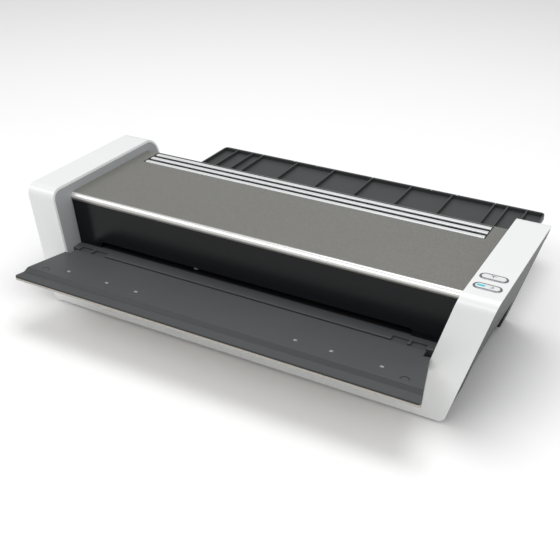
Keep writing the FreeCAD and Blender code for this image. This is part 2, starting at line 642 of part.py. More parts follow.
def exit_tray():
    """The clip-on rear tray: a framed floor with ribs along the feed direction and two hooks."""
    y0 = rear_y(PATH_Z) + FIT + 0.5
    y1 = rear_y(PATH_Z) + FIT + EXIT_TRAY_LENGTH
    top, low = PATH_Z - 1.0, PATH_Z - 1.0 - EXIT_TRAY_DEPTH
    half = EXIT_TRAY_WIDTH / 2
    behind_caps = cap_rear_y(low) + 1.0
    neck = x_in(low) - 3.0
    tray = slab_z([(-half, behind_caps, 1), (half, behind_caps, 1), (half, y1, 5), (-half, y1, 5)], low, top)
    tray = fuse(tray, block(-neck, neck, y0, behind_caps + 1, low, top))
    tray = tray.cut(block(-half + EXIT_RIB, half - EXIT_RIB, behind_caps + EXIT_RIB, y1 - 3.0, low + 2.0, top + 1))
    tray = tray.cut(block(-neck + EXIT_RIB, neck - EXIT_RIB, y0 + EXIT_RIB, behind_caps + EXIT_RIB + 1,
                          low + 2.0, top + 1))
    ribs = []
    for x in sorted({side * r for r in EXIT_RIBS_X for side in (-1, 1)}):
        start = y0 if abs(x) + EXIT_RIB < neck else behind_caps
        ribs.append(block(x - EXIT_RIB / 2, x + EXIT_RIB / 2, start + 1, y1 - 2, low + 1, top))
    for side in (-1, 1):
        centre = side * HOOK_X
        z0 = hook_z()
        ribs.append(block(centre - HOOK_WIDTH / 2, centre + HOOK_WIDTH / 2,
                          y0 - HOOK_REACH, y0 + 12, z0, z0 + HOOK_THICK))
        ribs.append(block(centre - HOOK_WIDTH / 2, centre + HOOK_WIDTH / 2, y0 + 2, y0 + 12, z0, low + 0.5))
        for dx in (-HOOK_WIDTH / 2 - 3, HOOK_WIDTH / 2 + 1):
            brace = [(y0 + 1.2, low + 0.5), (y0 + 1.2, low - 16), (y0 + 4, low - 16), (y0 + 46, low + 0.5)]
            ribs.append(slab_x(brace, centre + dx, centre + dx + 2))
    return fuse(tray, *ribs)


# ---- controls ----
def button(which):
    y = BUTTON_Y[which]
    top = HEIGHT + BUTTON_PROUD
    cap = pill(BUTTON_LENGTH - 2 * BUTTON_GAP, BUTTON_WIDTH - 2 * BUTTON_GAP, button_x(), y, HEIGHT - 3.4, top)
    rim = [e for e in cap.Edges if abs(e.BoundBox.ZMin - top) < 1e-6]
    cap = cap.makeFillet(0.5, rim)
    stem = rod_z(1.6, CONTROL_Z + SWITCH_HEIGHT + 1.2, HEIGHT - 3.0, button_x(), y)
    shape = fuse(cap, stem)
    return shape.cut(lens_block(FIT / 2)) if which == "power" else shape


def lens_block(grow):
    """The light window in the left part of the power button."""
    x, y = button_x() - 5.6, BUTTON_Y["power"]
    return pill(7.2 + 2 * grow, 2.6 + 2 * grow, x, y, HEIGHT - 1.2 - grow, HEIGHT + BUTTON_PROUD + 2 * grow)


def indicator_lens():
    return lens_block(0)


def button_bezel(which):
    y = BUTTON_Y[which]
    outer_l, outer_w = BUTTON_LENGTH + 2 * BEZEL_RIM - 0.1, BUTTON_WIDTH + 2 * BEZEL_RIM - 0.1
    ring = pill(outer_l, outer_w, button_x(), y, HEIGHT - 3.2, HEIGHT + 0.5)
    rim = [e for e in ring.Edges if abs(e.BoundBox.ZMin - HEIGHT - 0.5) < 1e-6]
    ring = ring.makeFillet(0.4, rim)
    return ring.cut(pill(BUTTON_LENGTH, BUTTON_WIDTH, button_x(), y, 0, HEIGHT + 5))


CONTROL_Z = HEIGHT - 12.0
SWITCH_HEIGHT = 3.5


def control_board():
    x = button_x()
    ys = sorted(BUTTON_Y.values())
    return block(x - 11.5, x + 8.0, ys[0] - 6, ys[-1] + 12, CONTROL_Z - 1.6, CONTROL_Z)


def button_switches():
    x = button_x()
    switches = []
    for y in BUTTON_Y.values():
        body = block(x - 3, x + 3, y - 3, y + 3, CONTROL_Z, CONTROL_Z + SWITCH_HEIGHT - 0.7)
        switches.append(fuse(body, rod_z(1.7, CONTROL_Z, CONTROL_Z + SWITCH_HEIGHT, x, y)))
    return Part.makeCompound(switches)


# ---- laminating unit ----
def roller_axes():
    """Name, y and z of the four roller axes."""
    return [("front_lower", FRONT_ROLLER_Y, LOWER_Z), ("front_upper", FRONT_ROLLER_Y, UPPER_Z),
            ("rear_lower", REAR_ROLLER_Y, LOWER_Z), ("rear_upper", REAR_ROLLER_Y, UPPER_Z)]


def roller_sleeve(y, z):
    sleeve = rod_x(ROLLER_RADIUS, -ROLLER_HALF, ROLLER_HALF, y, z)
    return sleeve.cut(rod_x(SHAFT_RADIUS, -ROLLER_HALF - 1, ROLLER_HALF + 1, y, z))


def roller_shaft(y, z):
    return rod_x(SHAFT_RADIUS, -GEAR_X1 - 1.0, FRAME_X1 + 3, y, z)


def bushes(side):
    """The four flanged bushes of one side frame."""
    made = []
    for _, y, z in roller_axes():
        barrel = rod_x(BUSH_RADIUS, FRAME_X0, FRAME_X1 + BUSH_FLANGE, y, z)
        flange = rod_x(BUSH_RADIUS + 1.6, FRAME_X0 - BUSH_FLANGE, FRAME_X0, y, z)
        bush = fuse(barrel, flange).cut(rod_x(SHAFT_RADIUS + RUNNING, 0, FAR, y, z))
        made.append(bush if side > 0 else mirrored(bush))
    return Part.makeCompound(made)


def rod_places():
    low, high = PAN_TOP + 10, SKIRT_Z - 7
    return [(FRONT_ROLLER_Y - 9, high), (REAR_ROLLER_Y + 9, high), (REAR_ROLLER_Y + 9, low)]


def spring_span():
    """Bottom and top of the pressure springs, from the bush to the frame's top flange."""
    return UPPER_Z + BUSH_RADIUS + 1.6 + 0.3, frame_top() - 0.3


def frame_top():
    return SKIRT_Z - FRAME_THICK


def side_frame(side):
    """A steel plate that carries the rollers, with flanges for the springs and the base."""
    y0, y1 = FRONT_ROLLER_Y - ROLLER_RADIUS - 0.8, REAR_ROLLER_Y + ROLLER_RADIUS + 0.8
    plate = slab_x([(y0, PAN_TOP), (y1, PAN_TOP), (y1, frame_top(), 4), (y0, frame_top(), 4)], FRAME_X0, FRAME_X1)
    flanges = []
    for y in (FRONT_ROLLER_Y, REAR_ROLLER_Y):
        flanges.append(block(FRAME_X0 - 12, FRAME_X1, y - 6, y + 6, PAN_TOP, PAN_TOP + FRAME_THICK))
        flanges.append(block(FRAME_X0 - 6, FRAME_X1, y - 6, y + 6, frame_top() - 0.01, frame_top() + 1.5))
    frame = fuse(plate, *flanges)
    for _, y, z in roller_axes():
        frame = frame.cut(rod_x(BUSH_RADIUS, 0, FAR, y, z))
    for y in (FRONT_ROLLER_Y, REAR_ROLLER_Y):
        half_slot = SPRING_RADIUS + SPRING_WIRE + 0.6
        frame = frame.cut(block(0, FAR, y - half_slot, y + half_slot, UPPER_Z, frame_top() - 0.02))
    for y, z in rod_places():
        frame = frame.cut(rod_x(1.6, 0, FAR, y, z))
    for y in (FRONT_ROLLER_Y, REAR_ROLLER_Y):
        frame = frame.cut(rod_z(1.6, PAN_TOP - 1, PAN_TOP + FRAME_THICK + 1, FRAME_X0 - 6, y))
    if side < 0:
        y, z = pinion_place()
        frame = mirrored(frame).cut(rod_x(STUB_RADIUS, -FAR, 0, IDLER_Y, LOWER_Z))
        frame = frame.cut(rod_x(MOTOR_BOSS_RADIUS + FIT, -FAR, 0, y, z))
    return frame


def pressure_springs():
    """Four coil springs that press the upper rollers down, one at each end of each roller."""
    z0, z1 = spring_span()
    pitch = (z1 - z0 - 2 * SPRING_WIRE) / SPRING_TURNS
    x = FRAME_X0 + 0.2
    springs = []
    for y in (FRONT_ROLLER_Y, REAR_ROLLER_Y):
        path = Part.makeHelix(pitch, pitch * SPRING_TURNS, SPRING_RADIUS)
        circle = Part.makeCircle(SPRING_WIRE, Vector(SPRING_RADIUS, 0, 0), Vector(0, 1, 0))
        coil = Part.Wire(path).makePipeShell([Part.Wire(circle)], True, True)
        coil.translate(Vector(x, y, z0 + SPRING_WIRE))
        springs += [coil, mirrored(coil)]
    return Part.makeCompound(springs)


def tie_rods():
    return Part.makeCompound([rod_x(3.0, -FRAME_X0, FRAME_X0, y, z).cut(
        rod_x(1.25, -FRAME_X0 - 1, -FRAME_X0 + 8, y, z)).cut(
        rod_x(1.25, FRAME_X0 - 8, FRAME_X0 + 1, y, z)) for y, z in rod_places()])


def frame_screws():
    """Screws that hold the tie rods, and the side frames to the base."""
    screws = []
    for y, z in rod_places():
        screw = fuse(rod_x(2.8, FRAME_X1, FRAME_X1 + 1.8, y, z), rod_x(1.2, FRAME_X0 - 6, FRAME_X1 + 0.1, y, z))
        screws += [screw, mirrored(screw)]
    for y in (FRONT_ROLLER_Y, REAR_ROLLER_Y):
        z = PAN_TOP + FRAME_THICK
        screw = fuse(rod_z(2.8, z, z + 1.8, FRAME_X0 - 6, y), rod_z(1.3, PAN_TOP, z + 0.1, FRAME_X0 - 6, y))
        screws += [screw, mirrored(screw)]
    return Part.makeCompound(screws)


def gear(teeth, phase, y, z, bore, x0, x1):
    """A spur gear with involute flanks; one tooth points at phase, measured from +Y towards +Z."""
    pitch_radius = MODULE * teeth / 2
    base = pitch_radius * math.cos(PRESSURE_ANGLE)
    tip = pitch_radius + ADDENDUM * MODULE
    root = pitch_radius - DEDENDUM * MODULE
    half_pitch = (math.pi * MODULE / 2 - BACKLASH) / 2 / pitch_radius
    at_pitch = math.tan(PRESSURE_ANGLE) - PRESSURE_ANGLE
    steps = 5
    flank = []
    for i in range(steps + 1):
        radius = max(base, root) + (tip - max(base, root)) * i / steps
        roll = math.acos(min(1.0, base / radius))
        flank.append((radius, half_pitch + at_pitch - (math.tan(roll) - roll)))
    points = []
    for k in range(teeth):
        centre = phase + 2 * math.pi * k / teeth
        low = (root, flank[0][1]) if root < base else flank[0]
        side = [low] + flank
        points += [(r, centre - a) for r, a in side] + [(r, centre + a) for r, a in reversed(side)]
    corners = [Vector(x0, y + r * math.cos(a), z + r * math.sin(a)) for r, a in points]
    tidy = [c for i, c in enumerate(corners) if c.distanceToPoint(corners[i - 1]) > 1e-6]
    wire = Part.makePolygon(tidy + [tidy[0]])
    body = Part.Face(wire).extrude(Vector(x1 - x0, 0, 0))
    return body.cut(rod_x(bore, x0 - 1, x1 + 1, y, z))


def meshed_phase(phase, teeth, direction, other_teeth):
    """The phase of a gear that meshes with one of the given phase, lying in that direction from it."""
    pitch = 2 * math.pi / teeth
    share = ((phase - direction) % pitch) / pitch
    return direction + math.pi + (0.5 - share) * 2 * math.pi / other_teeth


def pinion_place():
    """The pinion meshes with the idler from below, turned aside where the floor is too close."""
    reach = IDLER_RADIUS + PINION_RADIUS
    lowest = PAN_TOP + max(PINION_RADIUS + MODULE, MOTOR_RADIUS - MOTOR_OFFSET) + 1.0
    drop = min(reach, LOWER_Z - lowest)
    return IDLER_Y + math.sqrt(reach ** 2 - drop ** 2), LOWER_Z - drop


def drive_train():
    """Every gear as name: shape. All sit outside the left side frame."""
    x0, x1 = -GEAR_X1, -GEAR_X0
    idler_phase = 0.0
    lower_phase = meshed_phase(idler_phase, IDLER_TEETH, math.pi, GEAR_TEETH)
    rear_phase = meshed_phase(idler_phase, IDLER_TEETH, 0.0, GEAR_TEETH)
    up = math.pi / 2
    phases = {"front_lower": lower_phase, "front_upper": meshed_phase(lower_phase, GEAR_TEETH, up, GEAR_TEETH),
              "rear_lower": rear_phase, "rear_upper": meshed_phase(rear_phase, GEAR_TEETH, up, GEAR_TEETH)}
    made = {}
    for name, y, z in roller_axes():
        made[name + "_gear"] = gear(GEAR_TEETH, phases[name], y, z, SHAFT_RADIUS, x0, x1)
    made["idler_gear"] = gear(IDLER_TEETH, idler_phase, IDLER_Y, LOWER_Z, STUB_RADIUS + RUNNING, x0, x1)
    y, z = pinion_place()
    direction = math.atan2(z - LOWER_Z, y - IDLER_Y)
    phase = meshed_phase(idler_phase, IDLER_TEETH, direction, PINION_TEETH)
    pinion = gear(PINION_TEETH, phase, y, z, MOTOR_SHAFT_RADIUS / 2, x0, x1)
    shaft = rod_x(MOTOR_SHAFT_RADIUS, x0 - 0.5, -FRAME_X0 + 3.0, y, z)
    made["motor_pinion"] = fuse(pinion, shaft)
    return made


def idler_pin():
    pin = rod_x(STUB_RADIUS, -GEAR_X1 - 0.4, -FRAME_X0, IDLER_Y, LOWER_Z)
    return fuse(pin, rod_x(STUB_RADIUS + 1.5, -GEAR_X1 - 1.4, -GEAR_X1 - 0.3, IDLER_Y, LOWER_Z))


def drive_motor():
    """A round geared motor on the left side frame; the pinion's shaft turns in its boss."""
    y, z = pinion_place()
    x0 = -FRAME_X0 + 0.3
    can_z = z + MOTOR_OFFSET
    beside_roller = math.sqrt((MOTOR_RADIUS + ROLLER_RADIUS + 1.0) ** 2 - (LOWER_Z - can_z) ** 2)
    can_y = min(y, REAR_ROLLER_Y - beside_roller)
    can = rod_x(MOTOR_RADIUS, x0, x0 + MOTOR_LENGTH, can_y, can_z)
    boss = rod_x(MOTOR_BOSS_RADIUS, -FRAME_X1, x0 + 1.0, y, z)
    end_cap = rod_x(MOTOR_RADIUS - 5, x0 + MOTOR_LENGTH - 0.5, x0 + MOTOR_LENGTH + 2.5, can_y, can_z)
    bore = rod_x(MOTOR_SHAFT_RADIUS + RUNNING, -FRAME_X1 - 1, -FRAME_X0 + 3.5, y, z)
    return fuse(can, boss, end_cap).cut(bore)


def heater_plate(sign):
    """An aluminium plate that heats the pouch from one side, with a trough for its element."""
    y0, y1 = FRONT_ROLLER_Y + ROLLER_RADIUS + 2.5, REAR_ROLLER_Y - ROLLER_RADIUS - 2.5
    z0, z1 = sorted((PATH_Z + sign * HEATER_GAP, PATH_Z + sign * (HEATER_GAP + HEATER_THICK)))
    plate = block(-FRAME_X0 + 0.3, FRAME_X0 - 0.3, y0, y1, z0, z1)
    return plate.cut(rod_x(3.2, -FAR, FAR, (y0 + y1) / 2, PATH_Z + sign * (HEATER_GAP + HEATER_THICK)))


def heating_elements():
    y = (FRONT_ROLLER_Y + REAR_ROLLER_Y) / 2
    reach = HEATER_GAP + HEATER_THICK
    return Part.makeCompound([rod_x(3.0, -FRAME_X0 + 1, FRAME_X0 - 1, y, PATH_Z + s * reach) for s in (-1, 1)])


def thermal_cutout():
    y, z = (FRONT_ROLLER_Y + REAR_ROLLER_Y) / 2 + 9.5, PATH_Z + HEATER_GAP + HEATER_THICK
    return fuse(rod_z(5.0, z, z + 5.0, 30, y), block(20, 40, y - 1.5, y + 1.5, z + 4.8, z + 5.6))


def exit_guide():
    """The ledge from the rear rollers to the exit slot."""
    y0, y1 = REAR_ROLLER_Y + ROLLER_RADIUS + 2, rear_y(PATH_Z, WALL) - 0.3
    half = FRAME_X0 - 0.3
    plate = block(-half, half, y0, y1, DECK_Z - WALL, DECK_Z)
    skirt = block(-half, half, y1 - 2.0, y1, hook_z() + HOOK_THICK + 1.2, DECK_Z - WALL + 0.5)
    return fuse(plate, skirt)


def power_board():
    """The mains board in the right end housing, with its tall parts above the hand recess."""
    x = x_in(PATH_Z + 16) + WALL + 1.2
    clear_of_recess = HEIGHT - (WIDTH / 2 - GRIP_DEPTH - WALL - x - 2.6) / SIDE_LEAN
    board = block(x, x + 1.6, FRONT_ROLLER_Y - 10, REAR_ROLLER_Y + 10,
                  max(PAN_TOP + 10, min(clear_of_recess, GRIP_TOP + WALL + 1)), PATH_Z + 16)
    parts = []
    low = GRIP_TOP + WALL + 8
    for k in range(3):
        parts.append(rod_x(4.5, x + 1.5, x + 10, FRONT_ROLLER_Y + 4 + 12 * k, low + 5))
    parts.append(block(x + 1.5, x + 9, REAR_ROLLER_Y - 20, REAR_ROLLER_Y, low, low + 14))
    return fuse(board, *parts)


# ---- pouch sensor ----
FLAG_X = -60.0


def flag_place():
    """The sensor flag's pivot, under the deck."""
    return FRONT_ROLLER_Y - ROLLER_RADIUS - 14, DECK_Z - 8.0


def pouch_sensor_flag():
    """A light lever whose tip stands up through the deck until a pouch pushes it down."""
    y, z = flag_place()
    hub = rod_x(2.6, FLAG_X - 2.5, FLAG_X + 2.5, y, z)
    arm = slab_x([(y - 1.5, z), (y + 1.5, z), (y - 0.6, DECK_Z + 1.2, 0.7), (y - 3.2, DECK_Z + 1.2, 0.7)],
                 FLAG_X - 2.0, FLAG_X + 2.0)
    tail = block(FLAG_X - 2.0, FLAG_X + 2.0, y - 1.2, y + 1.2, z - 9, z)
    return fuse(hub, arm, tail).cut(rod_x(1.0 + RUNNING, FLAG_X - 5, FLAG_X + 5, y, z))


def sensor_bracket():
    """The fork under the deck that carries the flag's pin and the light barrier."""
    y, z = flag_place()
    cheeks = []
    for x0 in (FLAG_X - 6.0, FLAG_X + 3.4):
        cheeks.append(block(x0, x0 + 2.6, y - 5, y + 5, z - 4, DECK_Z - WALL))
    pin = rod_x(1.0, FLAG_X - 5.0, FLAG_X + 5.0, y, z)
    return fuse(cheeks[0], cheeks[1], pin)


def main():
    os.makedirs("parts", exist_ok=True)
    write("front_frame", front_frame())
    write("left_end_housing", mirrored(end_housing()))
    write("right_end_housing", right_end_housing())
    write("top_cover", top_cover())
    write("vent_grille", vent_grille())
    write("vent_bars", vent_bars())
    write("front_panel", front_panel())
    write("feed_deck", feed_deck())
    write("base_pan", base_pan())
    write("rear_cover", rear_cover())
    for (x, y), where in zip(foot_places(), ("front_left", "front_right", "rear_left", "rear_right")):
        write("foot_" + where, foot(x, y))
    write("base_screws", base_screws())
    write("power_inlet", power_inlet())
    write("inlet_pins", inlet_pins())
    write("input_tray_panel", input_tray_panel())
    write("input_tray_cover", input_tray_cover())
    write("tray_hinge_pins", hinge_pins())
    write("exit_tray", exit_tray())
    for which in BUTTON_Y:
        write(which + "_button", button(which))
        write(which + "_button_bezel", button_bezel(which))
    write("indicator_lens", indicator_lens())
    write("control_board", control_board())
    write("button_switches", button_switches())
    for name, y, z in roller_axes():
        write(name + "_roller_sleeve", roller_sleeve(y, z))
        write(name + "_roller_shaft", roller_shaft(y, z))
    write("right_bushes", bushes(1))
    write("left_bushes", bushes(-1))
    write("right_side_frame", side_frame(1))
    write("left_side_frame", side_frame(-1))
    write("pressure_springs", pressure_springs())
    write("tie_rods", tie_rods())
    write("frame_screws", frame_screws())
    for name, shape in drive_train().items():
        write(name, shape)
    write("idler_pin", idler_pin())
    write("drive_motor", drive_motor())
    write("upper_heater_plate", heater_plate(1))
    write("lower_heater_plate", heater_plate(-1))
    write("heating_elements", heating_elements())
    write("thermal_cutout", thermal_cutout())
    write("exit_guide", exit_guide())
    write("power_board", power_board())
    write("pouch_sensor_flag", pouch_sensor_flag())
    write("sensor_bracket", sensor_bracket())


main()
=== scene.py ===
"""Looks of a desktop pouch laminator: finishes, rounded edges, small details, studio and camera."""

import json
import math

import bpy
from bpy.props import FloatProperty, FloatVectorProperty, PointerProperty
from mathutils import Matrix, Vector


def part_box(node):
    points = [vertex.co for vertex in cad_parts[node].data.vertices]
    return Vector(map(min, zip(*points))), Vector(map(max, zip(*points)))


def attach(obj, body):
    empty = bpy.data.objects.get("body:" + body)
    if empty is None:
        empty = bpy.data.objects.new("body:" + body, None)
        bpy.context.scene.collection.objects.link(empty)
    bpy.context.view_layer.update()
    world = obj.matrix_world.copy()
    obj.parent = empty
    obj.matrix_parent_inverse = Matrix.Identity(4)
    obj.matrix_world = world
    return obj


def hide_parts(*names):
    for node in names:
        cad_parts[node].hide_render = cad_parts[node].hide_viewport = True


bl_info = {
    "name": "Pouch laminator looks",
    "version": (1, 0, 0),
    "blender": (4, 5, 0),
    "location": "3D View > Sidebar > Laminator",
    "description": "Finishes and details for a desktop pouch laminator",
    "category": "Object",
}

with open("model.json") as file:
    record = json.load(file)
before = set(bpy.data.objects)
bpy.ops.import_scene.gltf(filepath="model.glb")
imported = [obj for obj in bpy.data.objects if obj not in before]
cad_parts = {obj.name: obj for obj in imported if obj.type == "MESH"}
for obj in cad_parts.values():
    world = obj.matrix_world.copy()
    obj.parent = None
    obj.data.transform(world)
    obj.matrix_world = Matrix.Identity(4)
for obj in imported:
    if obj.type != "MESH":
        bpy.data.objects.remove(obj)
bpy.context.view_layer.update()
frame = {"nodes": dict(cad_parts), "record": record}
NODES = frame["nodes"]
BODY_OF = {node: body for body, nodes in frame["record"]["behaviour"]["bodies"].items() for node in nodes}
SLOT_OF = {entry["node"]: entry["material_slot"] for entry in frame["record"]["subparts"]}
MM = 0.001
COVER_TOP = 0.108          # the top cover above the table, in metres
NOSE_HIGHLIGHT_DEPTH = 0.0028        # depth of the painted highlight on the cover's front edge, in metres
TRAY_TOP = 58.4            # the input tray's plateau above the table, in mm
REAR_LEAN = 0.035          # backward step of the rear wall per mm of drop
SIDE_LEAN = 0.258          # inward step of the end caps' sides per mm of drop
CAP_INNER = (0.184, 0.186)       # where an end cap's paler inner face gives way to its dark side, in metres
SHADE_BEHIND_PANEL = (-0.1085, -0.1060)    # where painted shade darkens the deck behind the front panel, in metres
INK_SINK = 0.05            # how far a printed mark starts below its surface, in mm
STREAK_LONG = 14.0         # noise scale along and across a brushed surface
STREAK_FINE = 2600.0
WELD = 2e-6                # distance within which a node's points are merged, in metres
BEVEL_ANGLE = math.radians(35)       # sharper edges than this are rounded
CAD_SMOOTH = math.radians(38)        # flatter edges than this are shaded smooth
DETAIL_SMOOTH = math.radians(40)
CAMERA_LENS = 57.66        # in mm
CAMERA_AZIMUTH = math.radians(28.887)
CAMERA_ELEVATION = math.radians(29.76)
CAMERA_PLACE = (0.3804, -0.727543, 0.4816)
WORLD_LIGHT = 0.52
LIGHTS = (                 # name, place, target, size and power
    ("key", (-0.75, -1.05, 1.35), (0, 0, 0.08), (2.4, 0.46), 9.2),
    ("top", (0.1, 0.25, 1.7), (0, 0, 0.1), (1.4, 0.8), 14.5),
    ("fill", (1.3, -1.2, 0.9), (0, 0, 0.05), (0.9, 0.9), 3.0),
)


# ---- shader building ----
class Number:
    """A number socket that takes part in sums."""

    def __init__(self, finish, socket):
        self.finish = finish
        self.socket = socket

    def maths(self, operation, *values, flip=False):
        given = [self] + list(values)
        if flip:
            given.reverse()
        return self.finish.node("ShaderNodeMath", {"operation": operation}, given)

    def __add__(self, other):
        return self.maths("ADD", other)

    __radd__ = __add__

    def __sub__(self, other):
        return self.maths("SUBTRACT", other)

    def __rsub__(self, other):
        return self.maths("SUBTRACT", other, flip=True)

    def __mul__(self, other):
        return self.maths("MULTIPLY", other)

    __rmul__ = __mul__

    def size(self):
        return self.maths("ABSOLUTE")


class Finish:
    """One material, built from nodes on Object coordinates."""

    def __init__(self, name):
        self.material = bpy.data.materials.new(name)
        self.material.use_nodes = True
        self.tree = self.material.node_tree
        self.tree.nodes.clear()
        output = self.tree.nodes.new("ShaderNodeOutputMaterial")
        self.shader = self.tree.nodes.new("ShaderNodeBsdfPrincipled")
        self.tree.links.new(self.shader.outputs[0], output.inputs[0])
        self.place = self.node("ShaderNodeTexCoord", {}, {}, out="Object")
        self.bump_on = None

    def node(self, kind, settings, values, out=0):
        """Adds a node: its settings first, then a value or link for each input; gives back one output."""
        made = self.tree.nodes.new(kind)
        for key, value in settings.items():
            setattr(made, key, value)
        pairs = values.items() if isinstance(values, dict) else enumerate(values)
        for key, value in pairs:
            self.feed(made.inputs[key], value)
        socket = made.outputs[out]
        return Number(self, socket) if socket.type == "VALUE" else socket

    def feed(self, socket, value):
        if isinstance(value, Number):
            value = value.socket
        if isinstance(value, bpy.types.NodeSocket):
            self.tree.links.new(value, socket)
        elif socket.type == "RGBA" and len(value) == 3:
            socket.default_value = (*value, 1.0)
        else:
            socket.default_value = value

    def stretch(self, x, y, z):
        return self.node("ShaderNodeMapping", {}, {"Vector": self.place, "Scale": (x, y, z)})

    def noise(self, scale, detail=2.0, rough=0.5, at=None):
        return self.node("ShaderNodeTexNoise", {}, {"Vector": at or self.place, "Scale": scale,
                                                    "Detail": detail, "Roughness": rough})

    def cells(self, scale, out="Distance"):
        return self.node("ShaderNodeTexVoronoi", {}, {"Vector": self.place, "Scale": scale}, out=out)

    def axis(self, which):
        return self.node("ShaderNodeSeparateXYZ", {}, {"Vector": self.place}, out=which)

    def between(self, value, low, high, to_low=0.0, to_high=1.0):
        return self.node("ShaderNodeMapRange", {"interpolation_type": "SMOOTHSTEP"},
                         {"Value": value, "From Min": low, "From Max": high, "To Min": to_low, "To Max": to_high})

    def mix(self, share, first, second):
        mixed = self.tree.nodes.new("ShaderNodeMix")
        mixed.data_type = "RGBA"
        self.feed(mixed.inputs[0], share)
        self.feed(mixed.inputs[6], first)
        self.feed(mixed.inputs[7], second)
        return mixed.outputs[2]

    def bump(self, height, strength, distance):
        self.bump_on = self.node("ShaderNodeBump", {}, {"Height": height, "Strength": strength, "Distance": distance})

    def done(self, colour, rough, metal=0.0, coat=0.0, coat_rough=0.1, **fixed):
        self.feed(self.shader.inputs["Base Color"], colour)
        self.feed(self.shader.inputs["Roughness"], rough)
        self.feed(self.shader.inputs["Metallic"], metal)
        self.shader.inputs["Coat Weight"].default_value = coat
        self.shader.inputs["Coat Roughness"].default_value = coat_rough
        for key, value in fixed.items():
            self.feed(self.shader.inputs[key.replace("_", " ")], value)
        if self.bump_on is not None:
            self.feed(self.shader.inputs["Normal"], self.bump_on)
        return self.material


def shade(colour, factor):
    return tuple(min(1.0, c * factor) for c in colour)


def white_gloss(colours):
    f = Finish("white_gloss_plastic")
    cloud = f.noise(9.0, 3.0)
    peel = f.noise(420.0, 2.0)
    scuff = f.between(f.noise(1.0, 5.0, 0.65, f.stretch(160, 14, 160)), 0.66, 0.8)
    f.bump(peel, 0.035, 0.0004)
    colour = f.mix(cloud, shade(colours.white, 0.975), shade(colours.white, 1.015))
    return f.done(colour, 0.27 + cloud * 0.08 + scuff * 0.1, coat=0.35, coat_rough=0.12, Specular_IOR_Level=0.5)


def metallic_lacquer(name, colour, nose=None):
    """Sparkling lacquer; forward of nose, in metres, the front edge gets a painted highlight, with a painted dark
    reflection low on it, and is a little smoother and more metallic.
    """
    f = Finish(name)
    flake = f.cells(2600.0, "Color")
    sparkle = f.node("ShaderNodeSeparateColor", {}, {0: flake}, out=0)
    cloud = f.noise(6.0, 2.0)
    base = f.mix(cloud, shade(colour, 0.94), shade(colour, 1.05))
    tone = f.mix(f.between(sparkle, 0.72, 1.0) * 0.55, base, shade(colour, 2.1))
    if nose is None:
        f.bump(f.noise(1500.0, 1.0), 0.02, 0.0002)
        return f.done(tone, 0.36 + sparkle * 0.14, metal=0.55, coat=0.3, coat_rough=0.16)
    # Painted highlight: the front edge is coloured pale silver, and its lowest few millimetres dark tan as a painted
    # reflection of the tray below.
    nose_highlight_mask = f.between(f.axis(1), nose, nose + 0.0022, 1.0, 0.0)
    painted_nose_reflection = f.mix(cloud, (0.84, 0.84, 0.82), (0.9, 0.9, 0.88))
    painted_nose_reflection = f.mix(f.between(f.axis(2), COVER_TOP - 0.0052, COVER_TOP - 0.0036), (0.2, 0.19, 0.175), painted_nose_reflection)
    tone = f.mix(nose_highlight_mask, tone, painted_nose_reflection)
    return f.done(tone, 0.36 + sparkle * 0.14 * (1.0 - nose_highlight_mask) - nose_highlight_mask * 0.03, metal=0.55 + nose_highlight_mask * 0.3, coat=0.3,
                  coat_rough=0.16)


def grained(name, colour, rough, grain=900.0, depth=0.12, spread=0.12):
    """Moulded plastic with a fine spark-eroded grain, slight clouding and faint rub marks."""
    f = Finish(name)
    fine = f.noise(grain, 3.0, 0.6)
    pits = f.cells(grain * 1.7)
    cloud = f.noise(14.0, 3.0)
    rub = f.between(f.noise(1.0, 4.0, 0.7, f.stretch(18, 150, 150)), 0.62, 0.78)
    f.bump(fine * 0.7 + pits * 0.5, depth, 0.0003)
    tone = f.mix(cloud, shade(colour, 1 - spread), shade(colour, 1 + spread))
    tone = f.mix(rub * 0.25, tone, shade(colour, 1.8))
    return f.done(tone, rough + fine * 0.12 - rub * 0.08)


def housing(colours):
    """Dark moulded sides; the face of each end cap that looks towards the cover is a paler grey."""
    f = Finish("dark_housing_plastic")
    fine = f.noise(1000.0, 3.0, 0.6)
    cloud = f.noise(12.0, 3.0)
    rub = f.between(f.noise(1.0, 4.0, 0.7, f.stretch(150, 18, 150)), 0.64, 0.8)
    across = f.axis(0).size() - f.axis(2) * SIDE_LEAN
    outside = f.between(across, *CAP_INNER)
    f.bump(fine, 0.06, 0.0003)
    pale = f.mix(cloud, shade(colours.inner, 0.95), shade(colours.inner, 1.05))
    dark = f.mix(cloud, shade(colours.housing, 0.9), shade(colours.housing, 1.12))
    tone = f.mix(rub * 0.15, f.mix(outside, pale, dark), (0.2, 0.2, 0.2))
    return f.done(tone, 0.42 + fine * 0.1 - rub * 0.06)


def tray_finish(colours):
    """The input tray's grained sheet, with painted shade on the step and a painted shadow line on the lip's front
    face above its shell.
    """
    f = Finish("input_tray_plastic")
    fine = f.noise(1100.0, 3.0, 0.6)
    cloud = f.noise(14.0, 3.0)
    rub = f.between(f.noise(1.0, 4.0, 0.7, f.stretch(18, 150, 150)), 0.62, 0.78)
    front, y = mm_box("input_tray_panel")[0].y * MM, f.axis(1)
    # Painted shade: the band of the step is darkened towards black.
    step = f.between(y, front + 0.0098, front + 0.0110) * f.between(y, front + 0.0152, front + 0.0160, 1.0, 0.0)
    # Painted shadow: a near-black line on the front face of the lip above the shell, where a gap would lie in shade.
    painted_gap_shadow = f.between(y, front + 0.0002, front + 0.0005, 1.0, 0.0) * f.between(f.axis(2), 0.04, 0.059)
    f.bump(fine * 0.7, 0.08, 0.0003)
    tone = f.mix(cloud, shade(colours.tray, 0.9), shade(colours.tray, 1.1))
    tone = f.mix(rub * 0.2, tone, shade(colours.tray, 1.8))
    tone = f.mix(step * 0.55, tone, (0.012, 0.013, 0.014))
    return f.done(f.mix(painted_gap_shadow, tone, (0.004, 0.004, 0.004)), 0.42 + fine * 0.12 - rub * 0.08)


